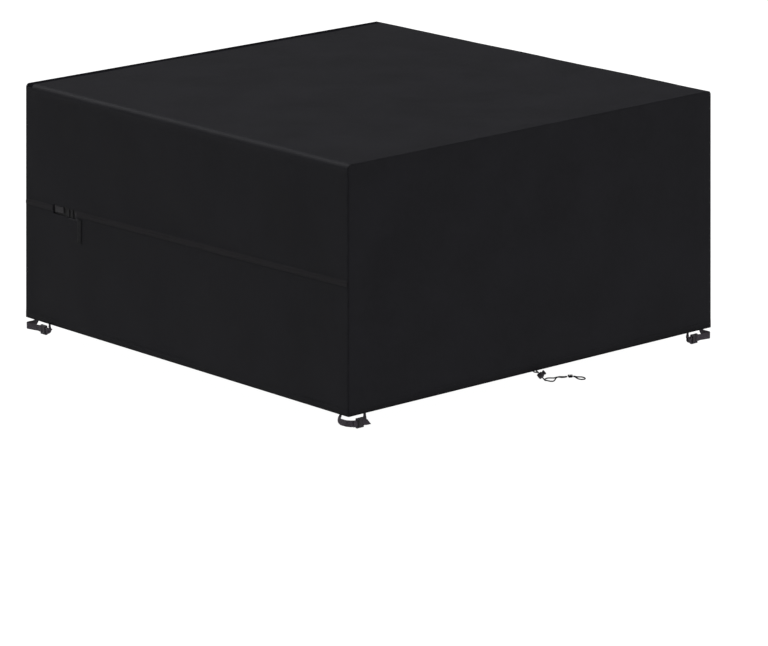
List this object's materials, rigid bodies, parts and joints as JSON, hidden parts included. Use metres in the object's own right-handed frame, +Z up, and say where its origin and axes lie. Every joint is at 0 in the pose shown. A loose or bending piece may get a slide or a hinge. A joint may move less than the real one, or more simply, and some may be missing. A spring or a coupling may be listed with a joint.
{
  "type": "patio furniture cover",
  "caption": "Square fitted cloth cover, hollow and open below, with a lapped seam, a small wall vent, buckled corner straps and a locking drawcord at the front hem.",
  "frame": {"origin": "the middle of the top's underside, where the cover rests on the furniture", "axes": "+Z up, against gravity in use; -Y the front wall with the drawcord; -X the left wall with the lapped seam"},
  "size_m": [1.5284, 1.5668, 0.8174],
  "materials": {
    "cloth": "matte coated weave",
    "mesh": "open knit mesh",
    "webbing": "woven webbing",
    "patch": "matte",
    "plastic": "satin moulded",
    "cord": "braided"
  },
  "bodies": {
    "cover": {"main_panel": "cloth", "lower_left_panel": "cloth", "front_panel": "cloth", "rear_panel": "cloth", "vent_mesh": "mesh", "vent_stay_1": "webbing", "vent_stay_2": "webbing", "vent_patch": "patch", "seam_tab": "webbing", "strap_front_left": "webbing", "tail_strap_front_left": "webbing", "buckle_socket_front_left": "plastic", "buckle_plug_front_left": "plastic", "strap_rear_left": "webbing", "tail_strap_rear_left": "webbing", "buckle_socket_rear_left": "plastic", "buckle_plug_rear_left": "plastic", "strap_front_right": "webbing", "tail_strap_front_right": "webbing", "buckle_socket_front_right": "plastic", "buckle_plug_front_right": "plastic", "strap_rear_right": "webbing", "tail_strap_rear_right": "webbing", "buckle_socket_rear_right": "plastic", "buckle_plug_rear_right": "plastic", "cord_back_strand": "cord", "cord_front_strand": "cord", "cord_end_loop": "cord", "cord_knot": "cord", "cord_lock_body": "plastic"},
    "lock_button": {"cord_lock_button": "plastic"}
  },
  "joints": [
    {"name": "button_press", "type": "slide", "parent": "cover", "child": "lock_button", "axis": [-0.6715, 0.4069, -0.6194], "range_m": [0, 0.004], "stiffness_N_per_m": 300, "springref_m": -0.003}
  ]
}
